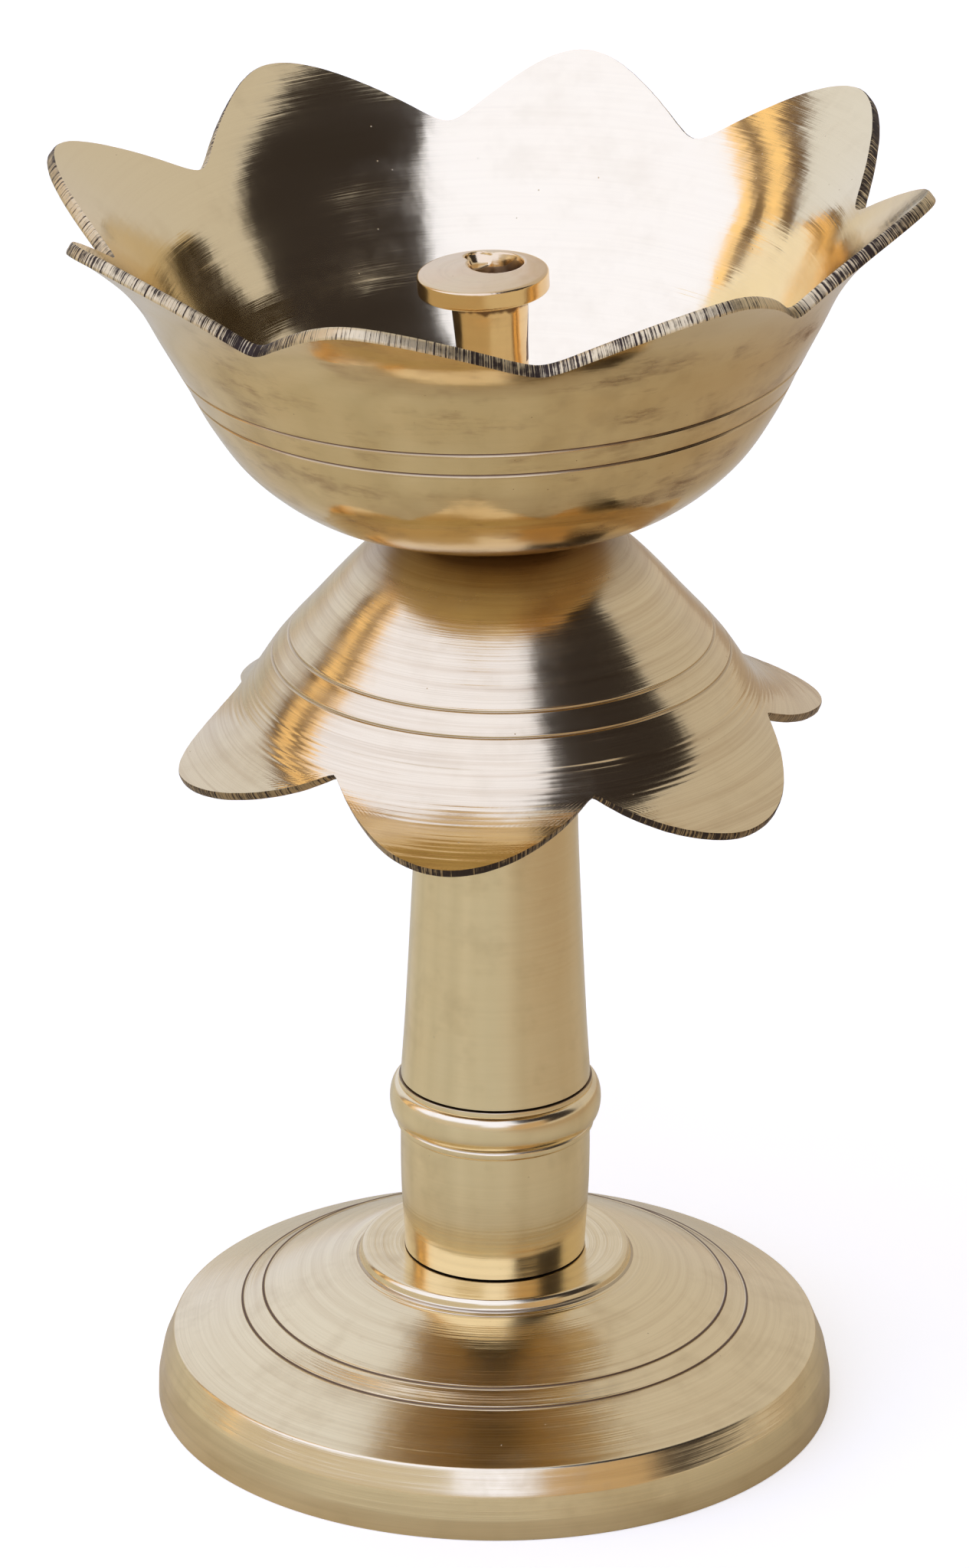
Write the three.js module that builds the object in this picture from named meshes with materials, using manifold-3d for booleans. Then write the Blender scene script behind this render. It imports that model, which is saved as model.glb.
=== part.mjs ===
// Brass standing oil lamp: a turned base, a two-piece stem, a hanging petal skirt and a lotus
// bowl with a flanged wick holder, all stacked on one threaded tie rod.
// Millimetres, Z up, origin at the centre of the foot of the base.

import * as THREE from 'three';
import { mergeVertices } from 'three/addons/utils/BufferGeometryUtils.js';
import Module from 'manifold-3d';

const wasm = await Module();
wasm.setup();

// Clearances
const JOINT_GAP = 0.3;
const ROD_RADIUS = 3.0;
const BORE_RADIUS = 3.45;

// Base
const BASE_RADIUS = 46.8;
const BASE_WALL = 3.0;
const RIM_TOP = { radius: 46.1, height: 6.2 };
const CHAMFER_TOP = { radius: 44.6, height: 9.8 };
const BASE_GROOVES = [{ radius: 35.0, height: 14.1 }, { radius: 32.1, height: 15.8 }];
const BOSS_FOOT = { radius: 19.1, height: 20.9 };
const BOSS_TOP = { radius: 18.5, height: 22.4 };
const HUB_RADIUS = 13.0;
const HUB_BOTTOM = 15.0;

// Stem
const LOWER_STEM_FOOT = BOSS_TOP.height + JOINT_GAP;
const LOWER_STEM_RADIUS = 13.05;
const BEAD_FOOT = 42.4;
const BEAD_RADIUS = 14.55;
const BEAD_HEIGHT = 5.2;
const LOWER_STEM_TOP = 48.1;
const UPPER_STEM_TOP = 129.0;
const SPIGOT_RADIUS = 7.6;
const SPIGOT_LENGTH = 4.5;
const SOCKET_CLEARANCE = 0.4;

// Petal skirt
const SKIRT_TOP = 131.2;
const SKIRT_WALL = 1.3;
const SKIRT_CROWN_WALL = 1.85;
// Petal tips and the notches between them, as [direction in degrees, radius].
const SKIRT_TIPS = [[24, 46.8], [81, 46.0], [134, 42.5], [197, 45.3], [260, 45.6], [317, 45.7]];
const SKIRT_NOTCHES = [[51, 36.2], [110, 36.0], [171, 36.0], [231, 35.7], [290, 36.0], [352, 36.4]];
const SKIRT_GROOVES = [28.8, 31.1];

// Oil bowl
const BOWL_SEAT = SKIRT_TOP + JOINT_GAP;
const BOWL_FLOOR_WALL = 2.2;
const BOWL_RIM_WALL = 1.7;
const BOWL_TIPS = [
  [31.5, 60.2], [76.5, 58.2], [121, 59.3], [166.5, 60.6],
  [210, 62.0], [252, 57.6], [304, 57.6], [345, 61.0],
];
const BOWL_NOTCHES = [
  [7.5, 51.0], [55, 50.2], [96.5, 50.6], [142.5, 50.8],
  [188.5, 51.6], [232, 50.2], [278, 50.0], [325, 50.0],
];
const BOWL_GROOVES = [40.7, 42.5];

// Wick holder
const SEAL_THICKNESS = 1.0;
const SEAL_RADIUS = 7.6;
const HOLDER_FOOT = BOWL_SEAT + BOWL_FLOOR_WALL + SEAL_THICKNESS + 2 * JOINT_GAP;
const HOLDER_FOOT_RADIUS = 7.0;
const NECK_RADIUS = 4.7;
const NECK_TOP_RADIUS = 5.4;
const FLANGE_BOTTOM = 163.9;
const FLANGE_TOP = 166.5;
const FLANGE_CROWN = 0.25;
const FLANGE_RADIUS = 8.8;
const FLANGE_OFFSET = { x: -0.7, y: -1.2 };
const WICK_HOLE = { x: 1.1, y: 1.0, radius: 3.5, tipRadius: 2.4, bottom: 154.0 };
const WICK_NOTCH = { width: 3.0, depth: 1.9, angle: 108 };

// Tie rod and its fastening under the base
const ROD_BOTTOM = 2.0;
const ROD_TOP = 150.0;
const ROD_CHAMFER = 0.6;
const FLAT_WASHER = { radius: 9.0, thickness: 1.6 };
const SPRING_WASHER = { radius: 5.9, thickness: 1.6, slot: 1.2 };
const NUT = { acrossFlats: 10.0, height: 5.0, cornerDrop: 0.7 };

// Engraved lines
const GROOVE_HALF_WIDTH = 0.35;
const GROOVE_DEPTH = 0.35;

// Facets round each turned piece
const FACETS = { large: 72, medium: 40, small: 28 };

const DEGREE = Math.PI / 180;

const BRASS = { color: 0xd9b878, roughness: 0.24, metalness: 1.0 };
const CAST_BRASS = { color: 0xcf9a5a, roughness: 0.36, metalness: 1.0 };
const STEEL = { color: 0x9a9da1, roughness: 0.42, metalness: 1.0 };
const FIBRE = { color: 0x6b2a20, roughness: 0.85, metalness: 0.0 };

const lamp = new THREE.Group();
lamp.name = 'standing_oil_lamp';

function addPiece(name, geometry, finish) {
  const material = new THREE.MeshStandardMaterial(finish);
  const mesh = new THREE.Mesh(geometry, material);
  mesh.name = name;
  lamp.add(mesh);
}

// Turns a closed outline of [radius, height] pairs about the lamp's axis.
function turned(outline, facets) {
  const closed = [...outline, outline[0]];
  const points = closed.map(([radius, height]) => new THREE.Vector2(radius, height));
  const geometry = new THREE.LatheGeometry(points, facets);
  geometry.rotateX(Math.PI / 2);
  return geometry;
}

function toSolid(geometry) {
  const bare = geometry.clone();
  bare.deleteAttribute('normal');
  bare.deleteAttribute('uv');
  const merged = mergeVertices(bare, 1e-4);
  const solid = new wasm.Manifold(new wasm.Mesh({
    numProp: 3,
    vertProperties: new Float32Array(merged.attributes.position.array),
    triVerts: new Uint32Array(merged.index.array),
  }));
  return solid;
}

function fromSolid(solid) {
  const mesh = solid.getMesh();
  const geometry = new THREE.BufferGeometry();
  geometry.setAttribute('position', new THREE.BufferAttribute(mesh.vertProperties, 3));
  geometry.setIndex(new THREE.BufferAttribute(mesh.triVerts, 1));
  return geometry;
}

// A smooth run of outline points through a few [radius, height] control points.
function smooth(controls, steps) {
  const curve = new THREE.SplineCurve(controls.map(([x, y]) => new THREE.Vector2(x, y)));
  return curve.getPoints(steps).map((point) => [point.x, point.y]);
}

// The three points of one engraved line on a straight flank from one outline point to another.
function flankGroove(centre, from, to) {
  const along = new THREE.Vector2(to[0] - from[0], to[1] - from[1]).normalize();
  const inward = new THREE.Vector2(-along.y, along.x);
  const middle = new THREE.Vector2(centre.radius, centre.height);
  const step = along.clone().multiplyScalar(GROOVE_HALF_WIDTH);
  const bottom = middle.clone().addScaledVector(inward, GROOVE_DEPTH);
  return [middle.clone().sub(step), bottom, middle.clone().add(step)].map(({ x, y }) => [x, y]);
}

// Base: a hollow turned disc with an upright rim, a chamfer, a low cone and a raised boss.
function makeBase() {
  const chamferTop = [CHAMFER_TOP.radius, CHAMFER_TOP.height];
  const bossFoot = [BOSS_FOOT.radius, BOSS_FOOT.height];
  const innerRim = BASE_RADIUS - BASE_WALL;
  const outline = [
    [innerRim, 0],
    [BASE_RADIUS, 0],
    [RIM_TOP.radius, RIM_TOP.height],
    chamferTop,
    ...BASE_GROOVES.flatMap((groove) => flankGroove(groove, chamferTop, bossFoot)),
    [26.0, 18.6],
    bossFoot,
    [BOSS_TOP.radius, BOSS_TOP.height],
    [BORE_RADIUS, BOSS_TOP.height],
    [BORE_RADIUS, HUB_BOTTOM],
    [HUB_RADIUS, HUB_BOTTOM],
    [HUB_RADIUS + 1.0, BOSS_FOOT.height - BASE_WALL - 0.5],
    [26.0, 18.6 - BASE_WALL],
    [CHAMFER_TOP.radius - 2.0, CHAMFER_TOP.height - BASE_WALL],
    [RIM_TOP.radius - BASE_WALL, RIM_TOP.height - 2.0],
  ];
  return turned(outline, FACETS.large);
}

// Lower stem: a short cylinder, necked at its foot, under a round bead; its top is a socket.
function makeLowerStem() {
  const bead = [];
  const beadSteps = 8;
  for (let step = 0; step <= beadSteps; step += 1) {
    const turn = Math.PI * step / beadSteps;
    const radius = LOWER_STEM_RADIUS + 0.35 + (BEAD_RADIUS - LOWER_STEM_RADIUS - 0.35) * Math.sin(turn);
    bead.push([radius, BEAD_FOOT + 0.5 * BEAD_HEIGHT * (1 - Math.cos(turn))]);
  }
  const socketRadius = SPIGOT_RADIUS + SOCKET_CLEARANCE;
  const socketFloor = LOWER_STEM_TOP - SPIGOT_LENGTH - SOCKET_CLEARANCE;
  const outline = [
    [BORE_RADIUS, LOWER_STEM_FOOT],
    ...smooth([[12.1, LOWER_STEM_FOOT], [12.6, 25.5], [12.95, 30.0], [LOWER_STEM_RADIUS, 36.0]], 6),
    [LOWER_STEM_RADIUS, 41.0],
    [LOWER_STEM_RADIUS + 0.5, 41.3],
    [LOWER_STEM_RADIUS + 0.5, BEAD_FOOT - 0.3],
    ...bead,
    [LOWER_STEM_RADIUS + 0.35, LOWER_STEM_TOP],
    [socketRadius, LOWER_STEM_TOP],
    [socketRadius, socketFloor],
    [BORE_RADIUS, socketFloor],
  ];
  return turned(outline, FACETS.medium);
}

// Upper stem: a tapered column with a locating spigot that drops into the lower stem's socket.
function makeUpperStem() {
  const foot = LOWER_STEM_TOP + JOINT_GAP;
  const outline = [
    [BORE_RADIUS, foot - SPIGOT_LENGTH],
    [SPIGOT_RADIUS, foot - SPIGOT_LENGTH],
    [SPIGOT_RADIUS, foot],
    ...smooth([[13.1, foot], [12.5, 57.0], [11.8, 71.0], [11.2, 85.0], [10.9, 100.0], [10.6, 124.0]], 10),
    [8.6, 127.5],
    [8.6, UPPER_STEM_TOP],
    [BORE_RADIUS, UPPER_STEM_TOP],
  ];
  return turned(outline, FACETS.medium);
}

// Distance of a petal's edge between its notch (0) and its tip (1), for a share of the way round.
// Both ends are rounded like a hyperbola; a notch roundness of zero leaves a sharp corner.
function petalEdge(share, notchRoundness, tipRoundness) {
  const ease = (x, roundness) => (
    (Math.hypot(x, roundness) - roundness) / (Math.hypot(1, roundness) - roundness)
  );
  return 1 - ease(1 - ease(share, notchRoundness), tipRoundness);
}

// Directions round a petalled rim, from one notch to the next tip and on, each with its edge share.
function rimStations(tips, notches, stepsPerSide, notchRoundness, tipRoundness) {
  const corners = [
    ...tips.map(([angle, radius]) => ({ angle, radius, share: 1 })),
    ...notches.map(([angle, radius]) => ({ angle, radius, share: 0 })),
  ].sort((a, b) => a.angle - b.angle);
  const stations = [];
  corners.forEach((corner, index) => {
    const next = corners[(index + 1) % corners.length];
    const sweep = (next.angle - corner.angle + 360) % 360;
    for (let step = 0; step < stepsPerSide; step += 1) {
      const along = step / stepsPerSide;
      const share = corner.share + (next.share - corner.share) * along;
      stations.push({
        angle: (corner.angle + sweep * along) * DEGREE,
        notchRadius: Math.min(corner.radius, next.radius),
        tipRadius: Math.max(corner.radius, next.radius),
        edge: petalEdge(share, notchRoundness, tipRoundness),
      });
    }
  });
  return stations;
}

// Share of a curve's length at which it reaches a radius; the radius only grows along the curve.
function shareAtRadius(curve, radius) {
  let low = 0;
  let high = 1;
  const halvings = 30;
  for (let count = 0; count < halvings; count += 1) {
    const middle = 0.5 * (low + high);
    if (curve.getPointAt(middle).x < radius) {
      low = middle;
    } else {
      high = middle;
    }
  }
  return low;
}

// A spun sheet with a cut petal rim. The curve runs from the seat round the bore out past the tips;
// side is +1 when the hollow is on the left of the curve and -1 when it is on the right.
function petalShell(shape) {
  const curve = new THREE.SplineCurve(shape.controls.map(([x, y]) => new THREE.Vector2(x, y)));
  curve.arcLengthDivisions = 600;
  const outermost = Math.max(...shape.tips.map(([, radius]) => radius));
  const tipShare = shareAtRadius(curve, outermost);
  const grooveShares = shape.grooves.map((radius) => shareAtRadius(curve, radius));
  const lastGroove = grooveShares[grooveShares.length - 1];
  const grooveHalf = GROOVE_HALF_WIDTH / curve.getLength();
  const stations = rimStations(
    shape.tips, shape.notches, shape.stepsPerSide, shape.notchRoundness, shape.tipRoundness,
  );

  // Each row gives the share along the curve and how deep below the outer skin it lies.
  const bodyRows = [];
  for (let row = 0; row <= shape.bodyRows; row += 1) {
    bodyRows.push(row / shape.bodyRows * (grooveShares[0] - 2 * grooveHalf));
  }
  const grooveRows = grooveShares.flatMap((share) => [
    { share: share - grooveHalf, depth: 0 },
    { share, depth: GROOVE_DEPTH },
    { share: share + grooveHalf, depth: 0 },
  ]);
  const petalStart = lastGroove + 2 * grooveHalf;

  const sheetPoint = (share, depth) => {
    const point = curve.getPointAt(share);
    const tangent = curve.getTangentAt(share);
    const inward = new THREE.Vector2(-tangent.y, tangent.x).multiplyScalar(shape.side);
    return point.addScaledVector(inward, depth);
  };
  const wallAt = (share) => THREE.MathUtils.lerp(shape.seatWall, shape.rimWall, share / tipShare);

  const columnOf = (station) => {
    const rimShare = THREE.MathUtils.lerp(
      shareAtRadius(curve, station.notchRadius),
      shareAtRadius(curve, station.tipRadius),
      station.edge,
    );
    const petalShares = [];
    for (let row = 0; row <= shape.petalRows; row += 1) {
      petalShares.push(THREE.MathUtils.lerp(petalStart, rimShare, row / shape.petalRows));
    }
    const outer = [
      ...bodyRows.map((share) => sheetPoint(share, 0)),
      ...grooveRows.map(({ share, depth }) => sheetPoint(share, depth)),
      ...petalShares.map((share) => sheetPoint(share, 0)),
    ];
    const inner = [...bodyRows, ...petalShares].reverse()
      .map((share) => sheetPoint(share, wallAt(share)));
    const seat = curve.getPointAt(0);
    const boreOuter = new THREE.Vector2(BORE_RADIUS, seat.y);
    const boreInner = new THREE.Vector2(BORE_RADIUS, inner[inner.length - 1].y);
    return [boreOuter, ...outer, ...inner, boreInner];
  };

  const columns = stations.map(columnOf);
  const rows = columns[0].length;
  const positions = [];
  columns.forEach((column, index) => {
    const { angle } = stations[index];
    column.forEach((point) => {
      positions.push(point.x * Math.cos(angle), point.x * Math.sin(angle), point.y);
    });
  });
  const indices = [];
  columns.forEach((column, index) => {
    const next = (index + 1) % columns.length;
    for (let row = 0; row < rows; row += 1) {
      const above = (row + 1) % rows;
      const a = index * rows + row;
      const b = next * rows + row;
      const c = next * rows + above;
      const d = index * rows + above;
      if (shape.side > 0) {
        indices.push(a, b, c, a, c, d);
      } else {
        indices.push(a, c, b, a, d, c);
      }
    }
  });
  const geometry = new THREE.BufferGeometry();
  geometry.setAttribute('position', new THREE.Float32BufferAttribute(positions, 3));
  geometry.setIndex(indices);
  return geometry;
}

function makeSkirt() {
  return petalShell({
    controls: [
      [9.5, SKIRT_TOP], [12.5, 130.2], [16.2, 127.7], [20.1, 124.2], [26.2, 117.3],
      [31.1, 111.5], [36.0, 104.4], [40.5, 100.9], [45.8, 98.3], [48.0, 97.3],
    ],
    side: -1,
    seatWall: SKIRT_CROWN_WALL,
    rimWall: SKIRT_WALL,
    tips: SKIRT_TIPS,
    notches: SKIRT_NOTCHES,
    notchRoundness: 0,
    tipRoundness: 0.4,
    grooves: SKIRT_GROOVES,
    stepsPerSide: 6,
    bodyRows: 6,
    petalRows: 3,
  });
}

function makeBowl() {
  return petalShell({
    controls: [
      [9.5, BOWL_SEAT], [15.0, 131.8], [21.0, 133.1], [27.7, 136.0], [34.3, 141.5], [38.5, 147.6],
      [41.7, 153.9], [44.9, 160.0], [47.8, 165.6], [51.2, 170.2], [55.4, 174.4], [60.5, 178.7],
      [62.5, 180.1],
    ],
    side: 1,
    seatWall: BOWL_FLOOR_WALL,
    rimWall: BOWL_RIM_WALL,
    tips: BOWL_TIPS,
    notches: BOWL_NOTCHES,
    notchRoundness: 0.12,
    tipRoundness: 0.3,
    grooves: BOWL_GROOVES,
    stepsPerSide: 6,
    bodyRows: 8,
    petalRows: 4,
  });
}

function ring(innerRadius, outerRadius, bottom, thickness, facets) {
  return turned([
    [innerRadius, bottom],
    [outerRadius, bottom],
    [outerRadius, bottom + thickness],
    [innerRadius, bottom + thickness],
  ], facets);
}

// A solid of revolution whose outline starts and ends on the axis.
function turnedSolid(outline, facets) {
  const points = outline.map(([radius, height]) => new THREE.Vector2(radius, height));
  const geometry = new THREE.LatheGeometry(points, facets);
  geometry.rotateX(Math.PI / 2);
  return geometry;
}

// Wick holder: a tapered neck with a foot, an off-centre flange, a wick hole and a wick notch.
function makeWickHolder() {
  const neck = turned([
    [BORE_RADIUS, HOLDER_FOOT],
    [HOLDER_FOOT_RADIUS, HOLDER_FOOT],
    [HOLDER_FOOT_RADIUS, HOLDER_FOOT + 1.6],
    ...smooth([[5.3, HOLDER_FOOT + 2.4], [4.75, 142.0], [NECK_RADIUS, 152.0], [NECK_TOP_RADIUS, 163.0]], 8),
    [NECK_TOP_RADIUS + 0.6, FLANGE_BOTTOM + 0.8],
    [BORE_RADIUS, FLANGE_BOTTOM + 0.8],
  ], FACETS.small);
  const plug = turnedSolid([
    [0, ROD_TOP + 1.0],
    [BORE_RADIUS + 0.4, ROD_TOP + 1.0],
    [BORE_RADIUS + 0.4, FLANGE_BOTTOM + 0.8],
    [0, FLANGE_BOTTOM + 0.8],
  ], FACETS.small);
  const flange = turnedSolid([
    [0, FLANGE_BOTTOM],
    [FLANGE_RADIUS - 0.3, FLANGE_BOTTOM],
    [FLANGE_RADIUS, FLANGE_BOTTOM + 0.4],
    [FLANGE_RADIUS, FLANGE_TOP - 0.3],
    [FLANGE_RADIUS - 0.3, FLANGE_TOP],
    [0, FLANGE_TOP + FLANGE_CROWN],
  ], FACETS.medium);
  flange.translate(FLANGE_OFFSET.x, FLANGE_OFFSET.y, 0);

  const aboveFlange = FLANGE_TOP + 2.0;
  const hole = turnedSolid([
    [0, WICK_HOLE.bottom],
    [WICK_HOLE.tipRadius, WICK_HOLE.bottom],
    [WICK_HOLE.radius, FLANGE_TOP - 1.0],
    [WICK_HOLE.radius, aboveFlange],
    [0, aboveFlange],
  ], FACETS.small);
  hole.translate(WICK_HOLE.x, WICK_HOLE.y, 0);

  const notchLength = 2 * FLANGE_RADIUS;
  const notchHeight = WICK_NOTCH.depth + 2.0;
  const notch = new THREE.BoxGeometry(notchLength, WICK_NOTCH.width, notchHeight);
  notch.translate(0.5 * notchLength, 0, FLANGE_TOP - WICK_NOTCH.depth + 0.5 * notchHeight);
  notch.rotateZ(WICK_NOTCH.angle * DEGREE);
  notch.translate(WICK_HOLE.x, WICK_HOLE.y, 0);

  const body = toSolid(neck).add(toSolid(plug)).add(toSolid(flange));
  return fromSolid(body.subtract(toSolid(hole)).subtract(toSolid(notch)));
}

function makeRod() {
  return turnedSolid([
    [0, ROD_BOTTOM],
    [ROD_RADIUS - ROD_CHAMFER, ROD_BOTTOM],
    [ROD_RADIUS, ROD_BOTTOM + ROD_CHAMFER],
    [ROD_RADIUS, ROD_TOP - ROD_CHAMFER],
    [ROD_RADIUS - ROD_CHAMFER, ROD_TOP],
    [0, ROD_TOP],
  ], FACETS.small);
}

const flatWasherBottom = HUB_BOTTOM - JOINT_GAP - FLAT_WASHER.thickness;
const springWasherBottom = flatWasherBottom - JOINT_GAP - SPRING_WASHER.thickness;
const nutBottom = springWasherBottom - JOINT_GAP - NUT.height;

// Spring washer: a ring of square section, cut through at one place.
function makeSpringWasher() {
  const whole = ring(
    BORE_RADIUS, SPRING_WASHER.radius, springWasherBottom, SPRING_WASHER.thickness, FACETS.small,
  );
  const slot = new THREE.BoxGeometry(2 * SPRING_WASHER.radius, SPRING_WASHER.slot, 3 * SPRING_WASHER.thickness);
  slot.translate(SPRING_WASHER.radius, 0, springWasherBottom + 0.5 * SPRING_WASHER.thickness);
  return fromSolid(toSolid(whole).subtract(toSolid(slot)));
}

// Hexagon nut: a six-sided prism with its corners turned down at both ends and a plain bore.
function makeNut() {
  const corner = NUT.acrossFlats / Math.sqrt(3);
  const outline = new THREE.Shape();
  for (let side = 0; side < 6; side += 1) {
    const angle = side * 60 * DEGREE;
    outline.lineTo(corner * Math.cos(angle), corner * Math.sin(angle));
  }
  outline.closePath();
  const prism = new THREE.ExtrudeGeometry(outline, { depth: NUT.height, bevelEnabled: false });
  prism.translate(0, 0, nutBottom);
  const flat = 0.5 * NUT.acrossFlats - 0.1;
  const envelope = turnedSolid([
    [0, nutBottom],
    [flat, nutBottom],
    [corner + 0.3, nutBottom + NUT.cornerDrop],
    [corner + 0.3, nutBottom + NUT.height - NUT.cornerDrop],
    [flat, nutBottom + NUT.height],
    [0, nutBottom + NUT.height],
  ], FACETS.small);
  const bore = turnedSolid([
    [0, nutBottom - 1],
    [BORE_RADIUS, nutBottom - 1],
    [BORE_RADIUS, nutBottom + NUT.height + 1],
    [0, nutBottom + NUT.height + 1],
  ], FACETS.small);
  return fromSolid(toSolid(prism).intersect(toSolid(envelope)).subtract(toSolid(bore)));
}

addPiece('base', makeBase(), BRASS);
addPiece('lower_stem', makeLowerStem(), BRASS);
addPiece('upper_stem', makeUpperStem(), BRASS);
addPiece('petal_skirt', makeSkirt(), BRASS);
addPiece('oil_bowl', makeBowl(), BRASS);
addPiece(
  'seal_washer',
  ring(BORE_RADIUS, SEAL_RADIUS, BOWL_SEAT + BOWL_FLOOR_WALL + JOINT_GAP, SEAL_THICKNESS, FACETS.small),
  FIBRE,
);
addPiece('wick_holder', makeWickHolder(), CAST_BRASS);
addPiece('tie_rod', makeRod(), STEEL);
addPiece(
  'flat_washer',
  ring(BORE_RADIUS, FLAT_WASHER.radius, flatWasherBottom, FLAT_WASHER.thickness, FACETS.small),
  STEEL,
);
addPiece('spring_washer', makeSpringWasher(), STEEL);
addPiece('base_nut', makeNut(), STEEL);

export default lamp;
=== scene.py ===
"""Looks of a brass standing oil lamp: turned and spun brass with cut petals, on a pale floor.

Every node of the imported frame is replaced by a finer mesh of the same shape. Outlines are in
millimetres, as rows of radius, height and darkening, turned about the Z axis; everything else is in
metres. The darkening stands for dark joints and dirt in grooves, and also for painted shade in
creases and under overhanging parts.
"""

import math

import bmesh
import bpy
import numpy as np
from mathutils import Matrix, Vector


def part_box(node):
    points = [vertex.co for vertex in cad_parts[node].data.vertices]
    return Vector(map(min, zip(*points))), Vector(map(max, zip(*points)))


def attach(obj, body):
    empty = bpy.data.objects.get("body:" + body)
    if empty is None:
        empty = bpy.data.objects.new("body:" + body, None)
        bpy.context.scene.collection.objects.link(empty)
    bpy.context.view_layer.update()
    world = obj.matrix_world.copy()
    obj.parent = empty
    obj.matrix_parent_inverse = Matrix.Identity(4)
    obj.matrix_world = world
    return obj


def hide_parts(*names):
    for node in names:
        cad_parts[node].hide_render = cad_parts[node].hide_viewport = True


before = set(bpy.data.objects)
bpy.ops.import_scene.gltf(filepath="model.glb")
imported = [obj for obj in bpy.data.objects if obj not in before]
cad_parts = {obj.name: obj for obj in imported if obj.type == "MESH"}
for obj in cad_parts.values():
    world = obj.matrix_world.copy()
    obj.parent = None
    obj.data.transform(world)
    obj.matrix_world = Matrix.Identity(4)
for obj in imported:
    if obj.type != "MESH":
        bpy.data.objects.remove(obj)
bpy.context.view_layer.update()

MM = 0.001
TAU = 2 * math.pi


def limits_mm(node):
    """The lowest and highest points of a node of the frame, in millimetres."""
    low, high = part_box(node)
    return low.z / MM, high.z / MM


# ---------------------------------------------------------------- sizes, in millimetres

BORE = 3.45
ROD = 3.0
SOCKET_RADIUS = 8.0
SPIGOT_RADIUS = 7.6
ROUND_STEPS = 256

foot_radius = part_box("base")[1].x / MM
boss_top = limits_mm("base")[1]
lower_foot, lower_top = limits_mm("lower_stem")
upper_foot, upper_top = limits_mm("upper_stem")
skirt_top = limits_mm("petal_skirt")[1]
bowl_seat = limits_mm("oil_bowl")[0]
holder_foot, holder_top = limits_mm("wick_holder")
rod_foot, rod_top = limits_mm("tie_rod")
nut_foot, nut_top = limits_mm("base_nut")

# The upper pieces sit a little out of true: degrees about +Y and +X, the height they tilt about,
# and a shift along +X and +Y.
BOWL_LEAN = (-1.7, -0.8, 126.5, 0.0, 0.35)
HOLDER_LEAN = (-3.2, -0.8, 141.0, 0.0, 0.0)
SKIRT_LEAN = (-0.5, 0.0, 131.2, 0.42, 0.0)


# ---------------------------------------------------------------- outlines

def along_of(points):
    """The distance along a path at each of its points."""
    return np.r_[0, np.cumsum(np.hypot(*np.diff(points[:, :2], axis=0).T))]


def resample(points, spacing):
    """The same path with points at an even spacing, corners kept only as closely as that."""
    along = along_of(points)
    targets = np.linspace(0, along[-1], max(2, int(round(along[-1] / spacing)) + 1))
    return np.stack([np.interp(targets, along, points[:, k]) for k in range(points.shape[1])], 1)


def spline(points, spacing=0.25):
    """A smooth curve through a few [radius, height] points (centripetal Catmull-Rom)."""
    given = np.array(points, float)
    padded = np.vstack([2 * given[0] - given[1], given, 2 * given[-1] - given[-2]])
    times = np.r_[0, np.cumsum(np.sqrt(np.hypot(*np.diff(padded, axis=0).T)))]

    def blend(a, b, start, end, t):
        return a + (b - a) * (t - start) / (end - start)

    dense = []
    for i in range(1, len(padded) - 2):
        p, k = padded[i - 1:i + 3], times[i - 1:i + 3]
        for t in np.linspace(k[1], k[2], 50, endpoint=False):
            a = [blend(p[j], p[j + 1], k[j], k[j + 1], t) for j in range(3)]
            b = [blend(a[j], a[j + 1], k[j], k[j + 2], t) for j in range(2)]
            dense.append(blend(b[0], b[1], k[1], k[2], t))
    dense.append(given[-1])
    return resample(np.c_[np.array(dense), np.zeros(len(dense))], spacing)


def rounded(points, radius, steps=5):
    """An open path of straight runs with its inner corners rounded."""
    most = 0.45  # of the shorter run beside a corner, so that two roundings never meet
    points = [np.array(p, float) for p in points]
    out = [points[0]]
    for before, corner, after in zip(points, points[1:], points[2:]):
        back, on = before - corner, after - corner
        start = corner + back * min(radius, most * np.hypot(*back)) / np.hypot(*back)
        end = corner + on * min(radius, most * np.hypot(*on)) / np.hypot(*on)
        for t in np.linspace(0, 1, steps):
            out.append((1 - t) ** 2 * start + 2 * t * (1 - t) * corner + t * t * end)
    out.append(points[-1])
    return np.c_[np.array(out), np.zeros(len(out))]


def fill(points, spacing):
    """Adds points on the long runs of a path and keeps the ones it has."""
    out = []
    for a, b in zip(points, points[1:]):
        count = max(1, int(math.ceil(np.hypot(*(b - a)[:2]) / spacing)))
        out += [a + (b - a) * k / count for k in range(count)]
    return np.array(out + [points[-1]])


def normals_of(points, along):
    """Unit normals on the left of a path."""
    tangent = np.gradient(points[:, :2], along, axis=0)
    tangent /= np.linalg.norm(tangent, axis=1)[:, None]
    return np.stack([-tangent[:, 1], tangent[:, 0]], 1)


def cut_groove(points, radius, side, depth, half, stain):
    """Presses an engraved line into a path where it passes a radius; side is the outer side."""
    along = along_of(points)
    at = along[np.argmin(np.abs(points[:, 0] - radius))]
    reach = 2.4  # half widths of the line that get closely spaced points
    local = at + half * np.linspace(-reach, reach, 25)
    places = np.sort(np.r_[along[np.abs(along - at) > (reach + 0.1) * half], local])
    out = np.stack([np.interp(places, along, points[:, k]) for k in range(3)], 1)
    offset = np.abs(places - at) / half
    press = np.where(offset < 1, np.cos(0.5 * math.pi * np.minimum(offset, 1)) ** 1.2, 0)
    burr = 0.1 * depth * np.exp(-((offset - 1.4) / 0.3) ** 2)
    out[:, :2] += side * normals_of(out, places) * (burr - depth * press)[:, None]
    out[:, 2] = np.maximum(out[:, 2], stain * np.clip(press * 1.5, 0, 1))
    return out


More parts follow.
